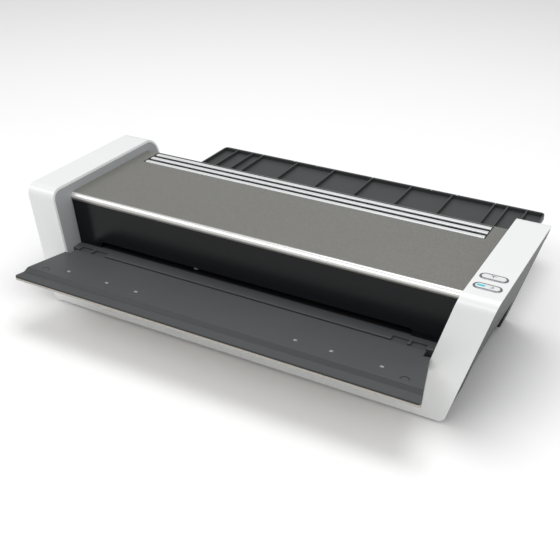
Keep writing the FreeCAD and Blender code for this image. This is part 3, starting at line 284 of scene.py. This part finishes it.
def deck_finish(colours):
    """The deck's grained plastic, with painted shade behind the front panel."""
    f = Finish("deck_plastic")
    fine = f.noise(1100.0, 3.0, 0.6)
    cloud = f.noise(14.0, 3.0)
    # Painted shade: the deck is darkened to near black behind the front panel.
    painted_shade_behind = f.between(f.axis(1), *SHADE_BEHIND_PANEL)
    f.bump(fine * 0.7, 0.08, 0.0003)
    tone = f.mix(cloud, shade(colours.tray, 0.9), shade(colours.tray, 1.1))
    return f.done(f.mix(painted_shade_behind, tone, (0.006, 0.006, 0.007)), 0.45 + fine * 0.12)


def black_gloss(colours):
    f = Finish("black_gloss_plastic")
    cloud = f.noise(7.0, 2.0)
    smear = f.noise(1.0, 4.0, 0.6, f.stretch(10, 60, 60))
    dust = f.between(f.cells(700.0), 0.0, 0.09, 1.0, 0.0) * f.between(f.noise(60.0), 0.5, 0.7)
    f.bump(f.noise(300.0, 1.0), 0.02, 0.0003)
    colour = f.mix(dust * 0.12, f.mix(cloud, shade(colours.panel, 0.85), shade(colours.panel, 1.2)), (0.2, 0.2, 0.2))
    return f.done(colour, 0.13 + smear * 0.1 + dust * 0.2, Specular_IOR_Level=0.22)


def brushed(name, colour, rough, along="x", metal=1.0, streak=0.16):
    """Drawn or brushed metal, its streaks along one axis."""
    f = Finish(name)
    scale = {"x": (STREAK_LONG, STREAK_FINE, STREAK_FINE), "y": (STREAK_FINE, STREAK_LONG, STREAK_FINE)}[along]
    lines = f.noise(1.0, 3.0, 0.6, f.stretch(*scale))
    cloud = f.noise(22.0, 2.0)
    f.bump(lines, 0.06, 0.0002)
    tone = f.mix(lines * 0.6 + cloud * 0.4, shade(colour, 1 - streak), shade(colour, 1 + streak))
    return f.done(tone, rough + lines * 0.16 + cloud * 0.06, metal=metal)


def zinc(name, colour):
    """Zinc-plated sheet with faint spangle."""
    f = Finish(name)
    spangle = f.node("ShaderNodeSeparateColor", {}, {0: f.cells(90.0, "Color")}, out=0)
    fine = f.noise(500.0, 3.0)
    f.bump(fine, 0.05, 0.0003)
    tone = f.mix(spangle, shade(colour, 0.85), shade(colour, 1.1))
    return f.done(tone, 0.28 + spangle * 0.12 + fine * 0.1, metal=1.0)


def polished(name, colour):
    f = Finish(name)
    haze = f.noise(180.0, 3.0)
    f.bump(f.noise(900.0, 1.0), 0.015, 0.0002)
    return f.done(f.mix(haze, shade(colour, 0.94), shade(colour, 1.03)), 0.07 + haze * 0.1, metal=1.0)


def soft_rubber(name, colour, rough=0.75):
    f = Finish(name)
    fine = f.noise(1400.0, 3.0, 0.7)
    dust = f.between(f.noise(40.0, 4.0, 0.7), 0.55, 0.8)
    f.bump(fine, 0.14, 0.0003)
    tone = f.mix(dust * 0.35, f.mix(fine, shade(colour, 0.85), shade(colour, 1.15)), shade(colour, 2.0))
    return f.done(tone, rough + dust * 0.12)


def circuit_board(name):
    """Green lacquered board with copper tracks under the lacquer and solder points."""
    f = Finish(name)
    tracks = f.node("ShaderNodeTexBrick", {"offset": 0.37}, {"Vector": f.place, "Scale": 260.0, "Mortar Size": 0.045,
                                                           "Color1": (0, 0, 0), "Color2": (0, 0, 0),
                                                           "Mortar": (1, 1, 1)}, out="Fac")
    pads = f.between(f.cells(330.0), 0.12, 0.16, 1.0, 0.0)
    cloud = f.noise(70.0)
    f.bump(tracks, 0.2, 0.0002)
    green = f.mix(cloud, (0.012, 0.09, 0.03), (0.02, 0.14, 0.05))
    tone = f.mix(pads, f.mix(tracks, green, (0.05, 0.24, 0.08)), (0.55, 0.53, 0.5))
    return f.done(tone, 0.3 + cloud * 0.12, metal=pads * 0.9)


def lit_lens(colours):
    f = Finish("lit_lens")
    edge = f.noise(500.0, 2.0)
    glow = f.mix(edge, shade(colours.lamp, 0.8), shade(colours.lamp, 1.1))
    f.bump(edge, 0.03, 0.0002)
    return f.done(glow, 0.2 + edge * 0.1, coat=0.5, Emission_Color=glow, Emission_Strength=0.3)


def milky(name, colour):
    """Natural acetal, slightly uneven where it was gated."""
    f = Finish(name)
    cloud = f.noise(120.0, 3.0)
    f.bump(f.noise(800.0, 2.0), 0.06, 0.0003)
    return f.done(f.mix(cloud, shade(colour, 0.9), shade(colour, 1.05)), 0.38 + cloud * 0.12,
                  Subsurface_Weight=0.15, Subsurface_Scale=0.002)


def floor_finish(name, colour):
    f = Finish(name)
    cloud = f.noise(3.0, 2.0)
    return f.done(f.mix(cloud, shade(colour, 0.99), colour), 0.9)


FINISHES = {}


def make_finishes(colours):
    FINISHES.update({
        "white_plastic": white_gloss(colours),
        "cover_metallic": metallic_lacquer("metallic_lacquer", tuple(colours.cover),
                                           mm_box("top_cover")[0].y * MM + NOSE_HIGHLIGHT_DEPTH),
        "shell_lacquer": metallic_lacquer("tray_shell_lacquer", (0.4, 0.375, 0.335)),
        "black_gloss": black_gloss(colours),
        "dark_plastic": housing(colours),
        "exit_tray_plastic": grained("exit_tray_plastic", shade(colours.tray, 0.72), 0.45, 1100.0, 0.1),
        "deck_plastic": deck_finish(colours),
        "input_tray_plastic": tray_finish(colours),
        "grille_plastic": grained("grille_plastic", (0.012, 0.012, 0.013), 0.7),
        "rear_plastic": grained("rear_wall_plastic", tuple(colours.housing), 0.5),
        "tray_plastic": grained("tray_plastic", tuple(colours.tray), 0.42, 1100.0, 0.1),
        "silver_bar": brushed("anodised_bar", (0.74, 0.75, 0.76), 0.3, "x", 0.4, streak=0.05),
        "chrome": polished("chrome", (0.72, 0.73, 0.75)),
        "dark_chrome": polished("dark_chrome", (0.34, 0.35, 0.37)),
        "button_white": grained("button_plastic", (0.72, 0.74, 0.74), 0.3, 1300.0, 0.04, 0.03),
        "light_lens": lit_lens(colours),
        "steel": zinc("zinc_steel", (0.56, 0.57, 0.59)),
        "aluminium": brushed("milled_aluminium", (0.66, 0.67, 0.69), 0.3, "x"),
        "silicone": soft_rubber("silicone_sleeve", (0.035, 0.035, 0.038), 0.55),
        "rubber": soft_rubber("foot_rubber", (0.02, 0.02, 0.02)),
        "gear_plastic": milky("acetal", (0.72, 0.7, 0.64)),
        "bush_plastic": milky("bush_plastic", (0.16, 0.13, 0.1)),
        "board": circuit_board("circuit_board"),
        "brass": brushed("plated_brass", (0.68, 0.52, 0.24), 0.22, "y"),
        "motor_metal": brushed("motor_can", (0.36, 0.36, 0.38), 0.34, "x"),
        "ink": grained("printed_sign", (0.05, 0.055, 0.06), 0.5, 1500.0, 0.03),
        "pale_ink": grained("printed_scale", (0.62, 0.64, 0.64), 0.5, 1500.0, 0.03, 0.05),
        "label": grained("plate_foil", (0.34, 0.35, 0.36), 0.35, 1500.0, 0.02, 0.05),
    })


# ---- modelling helpers ----
def deselect():
    if bpy.context.object and bpy.context.object.mode != "OBJECT":
        bpy.ops.object.mode_set(mode="OBJECT")
    bpy.ops.object.select_all(action="DESELECT")


def only(piece):
    deselect()
    piece.select_set(True)
    bpy.context.view_layer.objects.active = piece
    return piece


def settle(piece):
    """Leaves the piece's place in its mesh and its object at the origin."""
    only(piece)
    bpy.ops.object.transform_apply(location=True, rotation=True, scale=True)
    return piece


def apply_modifier(piece, kind, **settings):
    only(piece)
    modifier = piece.modifiers.new(kind.title(), kind)
    for key, value in settings.items():
        setattr(modifier, key, value)
    bpy.ops.object.modifier_apply(modifier=modifier.name)


def ready(piece, body, slot, finish=None, replaced=()):
    """Gives a finished piece its material, from its finish or else the record's slot, and its body."""
    settle(piece)
    piece.data.materials.clear()
    piece.data.materials.append(FINISHES[finish or slot])
    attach(piece, body)
    if replaced:
        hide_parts(*replaced)
    return piece


def softened(node, width, segments=3, dissolve=True, finish=None):
    """A welded copy of a CAD node with its sharp edges rounded, which stands for that node."""
    source = NODES[node]
    mesh = source.data.copy()
    piece = bpy.data.objects.new(node + "_finished", mesh)
    bpy.context.scene.collection.objects.link(piece)
    only(piece)
    bpy.ops.object.mode_set(mode="EDIT")
    bpy.ops.mesh.select_all(action="SELECT")
    bpy.ops.mesh.remove_doubles(threshold=WELD)
    if dissolve:
        bpy.ops.mesh.dissolve_limited(angle_limit=math.radians(0.4))
    bpy.ops.object.mode_set(mode="OBJECT")
    if mesh.has_custom_normals:
        bpy.ops.mesh.customdata_custom_splitnormals_clear()
    apply_modifier(piece, "BEVEL", width=width * MM, segments=segments, limit_method="ANGLE",
                   angle_limit=BEVEL_ANGLE, use_clamp_overlap=True, miter_outer="MITER_ARC")
    only(piece)
    bpy.ops.object.shade_smooth_by_angle(angle=CAD_SMOOTH)
    apply_modifier(piece, "WEIGHTED_NORMAL", keep_sharp=True, weight=80)
    return ready(piece, BODY_OF[node], SLOT_OF[node], finish, replaced=(node,))


def slab(name, low, high, bevel=0.3):
    """A box between two corners in millimetres, its edges bevelled in edit mode."""
    deselect()
    low, high = Vector(low) * MM, Vector(high) * MM
    bpy.ops.mesh.primitive_cube_add(size=1.0, location=(low + high) / 2)
    piece = bpy.context.object
    piece.name = name
    piece.scale = high - low
    settle(piece)
    bpy.ops.object.mode_set(mode="EDIT")
    bpy.ops.mesh.select_all(action="SELECT")
    bpy.ops.mesh.bevel(offset=bevel * MM, segments=2, affect="EDGES", clamp_overlap=True)
    bpy.ops.object.mode_set(mode="OBJECT")
    bpy.ops.object.shade_smooth_by_angle(angle=DETAIL_SMOOTH)
    return piece


def disc(name, centre, radius, height, axis="Z", bevel=0.3, sides=40):
    """A round pad from its base centre upwards along an axis, its rims bevelled."""
    deselect()
    turn = {"X": (0, math.pi / 2, 0), "Y": (-math.pi / 2, 0, 0), "Z": (0, 0, 0)}[axis]
    step = {"X": Vector((1, 0, 0)), "Y": Vector((0, 1, 0)), "Z": Vector((0, 0, 1))}[axis]
    bpy.ops.mesh.primitive_cylinder_add(vertices=sides, radius=radius * MM, depth=height * MM,
                                        location=(Vector(centre) + step * height / 2) * MM, rotation=turn)
    piece = bpy.context.object
    piece.name = name
    bpy.ops.object.mode_set(mode="EDIT")
    bpy.ops.mesh.select_all(action="DESELECT")
    bpy.ops.object.mode_set(mode="OBJECT")
    for edge in piece.data.edges:
        a, b = (piece.data.vertices[i].co for i in edge.vertices)
        edge.select = abs(a.z - b.z) < 1e-7
    bpy.ops.object.mode_set(mode="EDIT")
    bpy.ops.mesh.select_mode(type="EDGE")
    bpy.ops.mesh.bevel(offset=bevel * MM, segments=2, affect="EDGES", clamp_overlap=True)
    bpy.ops.object.mode_set(mode="OBJECT")
    settle(piece)
    bpy.ops.object.shade_smooth_by_angle(angle=DETAIL_SMOOTH)
    return piece


def ring_arc(name, centre, radius, half_width, z0, z1, start, sweep, steps=28):
    """A flat curved bar: a square section spun round an upright axis."""
    deselect()
    x = centre[0] + radius * math.cos(start)
    y = centre[1] + radius * math.sin(start)
    bpy.ops.mesh.primitive_plane_add(size=1.0, location=(0, 0, 0))
    piece = bpy.context.object
    piece.name = name
    corners = [(-half_width, z0), (half_width, z0), (half_width, z1), (-half_width, z1)]
    along = Vector((math.cos(start), math.sin(start), 0))
    order = [0, 1, 3, 2]
    for vertex, index in zip(piece.data.vertices, order):
        dr, z = corners[index]
        vertex.co = (Vector((x, y, 0)) + along * dr + Vector((0, 0, z))) * MM
    bpy.ops.object.mode_set(mode="EDIT")
    bpy.ops.mesh.select_all(action="SELECT")
    bpy.ops.mesh.spin(steps=steps, angle=sweep, center=Vector((centre[0], centre[1], 0)) * MM, axis=(0, 0, 1))
    bpy.ops.mesh.select_all(action="SELECT")
    bpy.ops.mesh.remove_doubles(threshold=1e-7)
    bpy.ops.mesh.normals_make_consistent(inside=False)
    bpy.ops.object.mode_set(mode="OBJECT")
    return piece


def close_ends(piece):
    only(piece)
    bpy.ops.object.mode_set(mode="EDIT")
    bpy.ops.mesh.select_all(action="DESELECT")
    bpy.ops.mesh.select_mode(type="VERT")
    bpy.ops.mesh.select_non_manifold()
    bpy.ops.mesh.edge_face_add()
    bpy.ops.mesh.select_all(action="SELECT")
    bpy.ops.mesh.normals_make_consistent(inside=False)
    bpy.ops.object.mode_set(mode="OBJECT")
    return piece


def joined(name, pieces):
    deselect()
    for piece in pieces:
        piece.select_set(True)
    bpy.context.view_layer.objects.active = pieces[0]
    if len(pieces) > 1:
        bpy.ops.object.join()
    pieces[0].name = name
    return pieces[0]


def mm_box(node):
    low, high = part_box(node)
    return low / MM, high / MM


# ---- properties ----
class LaminatorSettings(bpy.types.PropertyGroup):
    """Colours and small sizes a user may change."""
    white: FloatVectorProperty(name="White", description="End caps and front",
                               subtype="COLOR", default=(0.80, 0.815, 0.81))
    cover: FloatVectorProperty(name="Cover", description="Metallic top cover",
                               subtype="COLOR", default=(0.2, 0.198, 0.183))
    panel: FloatVectorProperty(name="Panel", description="Glossy front panel",
                               subtype="COLOR", default=(0.005, 0.0055, 0.0065))
    housing: FloatVectorProperty(name="Housing", description="End housings",
                                 subtype="COLOR", default=(0.026, 0.028, 0.03))
    inner: FloatVectorProperty(name="Inner walls", description="Faces of the end caps beside the cover",
                               subtype="COLOR", default=(0.33, 0.335, 0.345))
    tray: FloatVectorProperty(name="Tray", description="Trays and feed deck",
                              subtype="COLOR", default=(0.055, 0.058, 0.06))
    lamp: FloatVectorProperty(name="Lamp", description="Light in the power button",
                              subtype="COLOR", default=(0.0, 0.48, 0.56))
    edge: FloatProperty(name="Edge", description="Rounding of moulded edges, in mm",
                        default=0.5, min=0.1, max=1.0)


class PieceOperator:
    bl_options = {"REGISTER", "UNDO"}

    @property
    def settings(self):
        return bpy.context.scene.laminator


class LAMINATOR_OT_finishes(PieceOperator, bpy.types.Operator):
    """Makes the materials and gives every CAD node its own"""
    bl_idname = "laminator.finishes"
    bl_label = "Finishes"

    def execute(self, context):
        make_finishes(self.settings)
        for name, node in NODES.items():
            node.data.materials.clear()
            node.data.materials.append(FINISHES[SLOT_OF[name]])
        return {"FINISHED"}


class LAMINATOR_OT_casing(PieceOperator, bpy.types.Operator):
    """Rounds the edges of the casing mouldings"""
    bl_idname = "laminator.casing"
    bl_label = "Casing"

    def execute(self, context):
        edge = self.settings.edge
        for node in ("front_frame", "left_end_housing", "right_end_housing"):
            softened(node, edge)
        softened("top_cover", edge)
        softened("front_panel", edge * 0.8)
        softened("feed_deck", edge * 0.6, finish="deck_plastic")
        softened("vent_grille", edge * 0.4, 2, finish="grille_plastic")
        softened("rear_cover", edge * 0.6, finish="rear_plastic")
        softened("base_pan", edge * 0.6, finish="rear_plastic")
        return {"FINISHED"}


class LAMINATOR_OT_trays(PieceOperator, bpy.types.Operator):
    """Rounds the edges of both trays"""
    bl_idname = "laminator.trays"
    bl_label = "Trays"

    def execute(self, context):
        edge = self.settings.edge
        softened("input_tray_panel", edge * 0.6, 2, finish="input_tray_plastic")
        softened("input_tray_cover", edge * 0.8, 2, finish="shell_lacquer")
        softened("exit_tray", edge * 0.8, 2, dissolve=False, finish="exit_tray_plastic")
        return {"FINISHED"}


class LAMINATOR_OT_controls(PieceOperator, bpy.types.Operator):
    """Rounds the buttons and their rings and prints a sign on each"""
    bl_idname = "laminator.controls"
    bl_label = "Buttons"

    def execute(self, context):
        for name in ("power", "reverse"):
            softened(name + "_button_bezel", 0.15, 2, finish="dark_chrome")
            softened(name + "_button", 0.15, 2)
        low, high = mm_box("reverse_button")
        x, y, top = (low.x + high.x) / 2, (low.y + high.y) / 2, high.z
        arc = close_ends(ring_arc("turn", (x + 0.6, y, 0), 1.4, 0.24, top - INK_SINK, top + 0.07, -1.9, 3.9))
        shaft = slab("shaft", (x - 1.6, y + 1.15, top - INK_SINK), (x + 0.6, y + 1.63, top + 0.07), 0.02)
        head = disc("head", (x - 1.9, y + 1.4, top - INK_SINK), 0.95, 0.12, bevel=0.02, sides=3)
        ready(joined("reverse_sign", [arc, shaft, head]), "reverse_button", "button_white", "ink")
        low, high = mm_box("power_button")
        x, y, top = (low.x + high.x) / 2 + 3.6, (low.y + high.y) / 2, high.z
        arc = close_ends(ring_arc("round", (x, y, 0), 1.4, 0.22, top - INK_SINK, top + 0.07, 2.2, 4.96))
        stem = slab("stem", (x - 0.22, y + 0.1, top - INK_SINK), (x + 0.22, y + 1.75, top + 0.07), 0.02)
        ready(joined("power_sign", [arc, stem]), "power_button", "button_white", "ink")
        return {"FINISHED"}


class LAMINATOR_OT_marks(PieceOperator, bpy.types.Operator):
    """Adds the size marks of both trays and the rear rating plate"""
    bl_idname = "laminator.marks"
    bl_label = "Marks"

    def execute(self, context):
        low, high = mm_box("exit_tray")
        ticks = [slab("tick", (x - 0.5, high.y - 2.4, high.z - 0.05), (x + 0.5, high.y - 0.7, high.z + 0.06), 0.03)
                 for x in (-150, -105, -74, 0, 74, 105, 150)]
        ready(joined("exit_size_marks", ticks), "exit_tray", "tray_plastic", "pale_ink")
        low, high = mm_box("input_tray_panel")
        top = TRAY_TOP
        lines = [slab("line", (x - 1.6, y, top - INK_SINK), (x + 1.6, y + 0.5, top + 0.06), 0.03)
                 for x in (-164, -118, -84, 84, 118, 164) for y in (low.y + 27.0, low.y + 28.4)]
        ready(joined("input_size_marks", lines), "input_tray", "tray_plastic", "pale_ink")
        low, high = mm_box("rear_cover")
        y = high.y - REAR_LEAN * (16.0 - low.z)
        plate = slab("rating_plate", (40, y - 0.8, 16.0), (96, y + 0.3, 34.0), 0.1)
        ready(plate, "casing", "dark_plastic", "label")
        return {"FINISHED"}


class LAMINATOR_OT_back(PieceOperator, bpy.types.Operator):
    """Adds the feet's tread rings, the rear wall's screws and the print on its rating plate"""
    bl_idname = "laminator.back"
    bl_label = "Back and underside"

    def execute(self, context):
        for name in ("front_left", "front_right", "rear_left", "rear_right"):
            softened("foot_" + name, 0.3, 2)
            low, high = mm_box("foot_" + name)
            x, y = (low.x + high.x) / 2, (low.y + high.y) / 2
            rings = [ring_arc("tread", (x, y, 0), radius, 0.35, -0.02, 0.3, 0.0, 2 * math.pi, 40)
                     for radius in (3.0, 5.2)]
            ready(joined("tread_" + name, rings), "casing", "rubber")
        low, high = mm_box("rear_cover")
        for count, (x, z) in enumerate(((-172, 20), (172, 20), (-176, 88), (176, 88))):
            y = high.y - REAR_LEAN * (z - low.z)
            head = disc("rear_screw_%d" % count, (x, y - 0.5, z), 3.0, 1.0, "Y", 0.3, 32)
            ready(head, "casing", "steel")
            cross = joined("rear_screw_cross_%d" % count,
                           [slab("bar", (x - 1.7, y + 0.3, z - 0.3), (x + 1.7, y + 0.53, z + 0.3), 0.02),
                            slab("bar", (x - 0.3, y + 0.3, z - 1.7), (x + 0.3, y + 0.53, z + 1.7), 0.02)])
            ready(cross, "casing", "steel", "ink")
        rows = []
        for row, (first, last) in enumerate(((44, 70), (44, 86), (44, 62), (44, 80))):
            z = 31.0 - 3.2 * row
            y = high.y - REAR_LEAN * (z - low.z)
            rows.append(slab("print", (first, y - 0.1, z), (last, y + 0.5, z + 1.0), 0.02))
        ready(joined("plate_print", rows), "casing", "dark_plastic", "pale_ink")
        return {"FINISHED"}


class LAMINATOR_OT_stage(PieceOperator, bpy.types.Operator):
    """Adds the floor, the lights and the camera"""
    bl_idname = "laminator.stage"
    bl_label = "Stage"

    def execute(self, context):
        deselect()
        bpy.ops.mesh.primitive_plane_add(size=12.0, location=(0, 0, 0))
        floor = bpy.context.object
        floor.name = "floor"
        floor.data.materials.append(floor_finish("pale_floor", (0.96, 0.96, 0.96)))
        world = bpy.data.worlds.new("studio")
        context.scene.world = world
        world.use_nodes = True
        world.node_tree.nodes["Background"].inputs[0].default_value = (1.0, 1.0, 1.0, 1.0)
        world.node_tree.nodes["Background"].inputs[1].default_value = WORLD_LIGHT
        for name, place, target, size, power in LIGHTS:
            light = bpy.data.lights.new(name, "AREA")
            light.shape = "RECTANGLE"
            light.size, light.size_y = size
            light.energy = power
            lamp = bpy.data.objects.new(name, light)
            lamp.location = place
            aim = Vector(target) - Vector(place)
            lamp.rotation_euler = aim.to_track_quat("-Z", "Y").to_euler()
            context.scene.collection.objects.link(lamp)
        data = bpy.data.cameras.new("camera")
        data.lens = CAMERA_LENS
        camera = bpy.data.objects.new("camera", data)
        context.scene.collection.objects.link(camera)
        level = math.cos(CAMERA_ELEVATION)
        back = Vector((math.sin(CAMERA_AZIMUTH) * level, -math.cos(CAMERA_AZIMUTH) * level,
                       math.sin(CAMERA_ELEVATION)))
        camera.location = CAMERA_PLACE
        camera.rotation_euler = (-back).to_track_quat("-Z", "Y").to_euler()
        context.scene.camera = camera
        context.scene.view_settings.view_transform = "Standard"
        return {"FINISHED"}


class LAMINATOR_PT_sidebar(bpy.types.Panel):
    bl_label = "Laminator"
    bl_space_type = "VIEW_3D"
    bl_region_type = "UI"
    bl_category = "Laminator"

    def draw(self, context):
        settings = context.scene.laminator
        for name in settings.__annotations__:
            self.layout.prop(settings, name)
        for operator in PIECES:
            self.layout.operator(operator.bl_idname)


PIECES = (LAMINATOR_OT_finishes, LAMINATOR_OT_casing, LAMINATOR_OT_trays, LAMINATOR_OT_controls,
          LAMINATOR_OT_marks, LAMINATOR_OT_back, LAMINATOR_OT_stage)
CLASSES = (LaminatorSettings,) + PIECES + (LAMINATOR_PT_sidebar,)


def register():
    for cls in CLASSES:
        bpy.utils.register_class(cls)
    bpy.types.Scene.laminator = PointerProperty(type=LaminatorSettings)


def unregister():
    del bpy.types.Scene.laminator
    for cls in reversed(CLASSES):
        bpy.utils.unregister_class(cls)


def main():
    register()
    for operator in PIECES:
        name = operator.bl_idname.split(".")[1]
        getattr(bpy.ops.laminator, name)()


if __name__ == "__main__":
    main()
